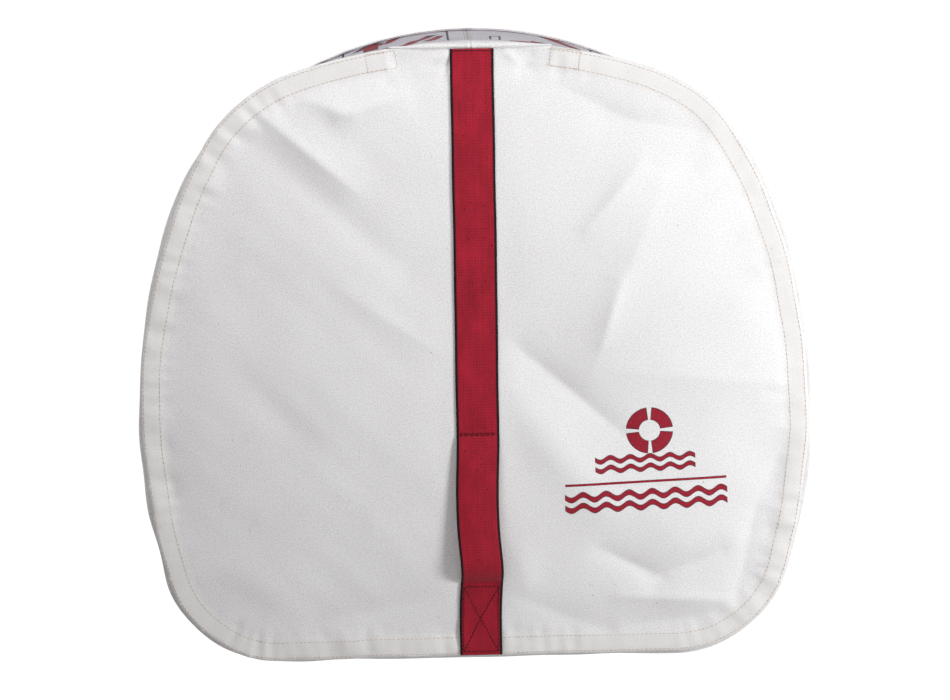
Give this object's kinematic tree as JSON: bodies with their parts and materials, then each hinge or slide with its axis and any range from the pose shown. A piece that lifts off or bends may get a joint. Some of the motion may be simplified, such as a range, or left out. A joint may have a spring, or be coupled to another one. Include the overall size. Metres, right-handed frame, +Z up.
{
  "type": "rescue buoy in a soft case",
  "caption": "Arched white fabric case with a hinged flap and a red pull strap, holding a foam horseshoe rescue buoy, with buckled straps at the back for a rail.",
  "frame": {"origin": "on the outer face of the chafe patch on the back, in the middle of the case, at the height of the rail that the case hangs on", "axes": "+Z up, +X to the right as the flap is looked at, the flap faces -Y"},
  "size_m": [0.6278, 0.1979, 0.5862],
  "materials": {
    "case_fabric": "white coated woven fabric, satin",
    "tape": "off-white hook and loop tape",
    "red_webbing": "dark red woven webbing",
    "black_webbing": "black woven webbing",
    "buoy_cover": "yellow coated fabric, sewn and padded",
    "foam": "closed-cell foam",
    "reflector": "silver reflective tape",
    "buckle_plastic": "black moulded acetal",
    "eyelet_metal": "nickel-plated, satin",
    "bag_fabric": "orange woven fabric"
  },
  "bodies": {
    "case": {"case_back_panel": "case_fabric", "case_chafe_patch": "case_fabric", "case_gusset_left": "case_fabric", "case_gusset_right": "case_fabric", "case_seam_binding": "case_fabric", "case_brim": "case_fabric", "case_loop_tape": "tape", "case_hinge_fold": "case_fabric", "line_exit_eyelet": "eyelet_metal", "drain_eyelet_left": "eyelet_metal", "drain_eyelet_right": "eyelet_metal", "line_bag": "bag_fabric", "line_bag_strap": "black_webbing", "rail_strap_left": "black_webbing", "rail_strap_right": "black_webbing", "rail_tail_left": "black_webbing", "rail_tail_right": "black_webbing", "rail_socket_left": "buckle_plastic", "rail_socket_right": "buckle_plastic", "tie_loop_left": "black_webbing", "tie_loop_right": "black_webbing"},
    "flap": {"flap_panel": "case_fabric", "flap_hook_tape": "tape", "flap_pull_strap": "red_webbing"},
    "buoy": {"buoy_foam_core": "foam", "buoy_cover_front": "buoy_cover", "buoy_cover_back": "buoy_cover", "buoy_lifting_web": "red_webbing", "reflector_arch_left": "reflector", "reflector_arch_right": "reflector", "reflector_leg_left": "reflector", "reflector_leg_right": "reflector", "mouth_strap_left": "red_webbing", "mouth_strap_right": "red_webbing", "mouth_socket": "buckle_plastic"},
    "rail_plug_left": {"rail_plug_left": "buckle_plastic"},
    "rail_plug_right": {"rail_plug_right": "buckle_plastic"},
    "mouth_plug": {"mouth_plug": "buckle_plastic"}
  },
  "joints": [
    {"name": "flap_open", "type": "hinge", "parent": "case", "child": "flap", "pos_m": [0, -0.1405, 0.10399], "axis": [-1, 0, 0], "range_deg": [0, 170]},
    {"name": "buoy_draw", "type": "slide", "parent": "case", "child": "buoy", "axis": [0, -1, 0], "range_m": [0, 0.128]},
    {"name": "mouth_release", "type": "slide", "parent": "buoy", "child": "mouth_plug", "axis": [1, 0, 0], "range_m": [0, 0.024], "deforming": ["mouth_strap_right"]},
    {"name": "rail_release_left", "type": "slide", "parent": "case", "child": "rail_plug_left", "axis": [0, 0, -1], "range_m": [0, 0.024], "deforming": ["rail_tail_left"]},
    {"name": "rail_release_right", "type": "slide", "parent": "case", "child": "rail_plug_right", "axis": [0, 0, -1], "range_m": [0, 0.024], "deforming": ["rail_tail_right"]}
  ],
  "couplings": [
    {"joint": "buoy_draw", "follows": "flap_open", "m_per_rad": 0.0431}
  ]
}
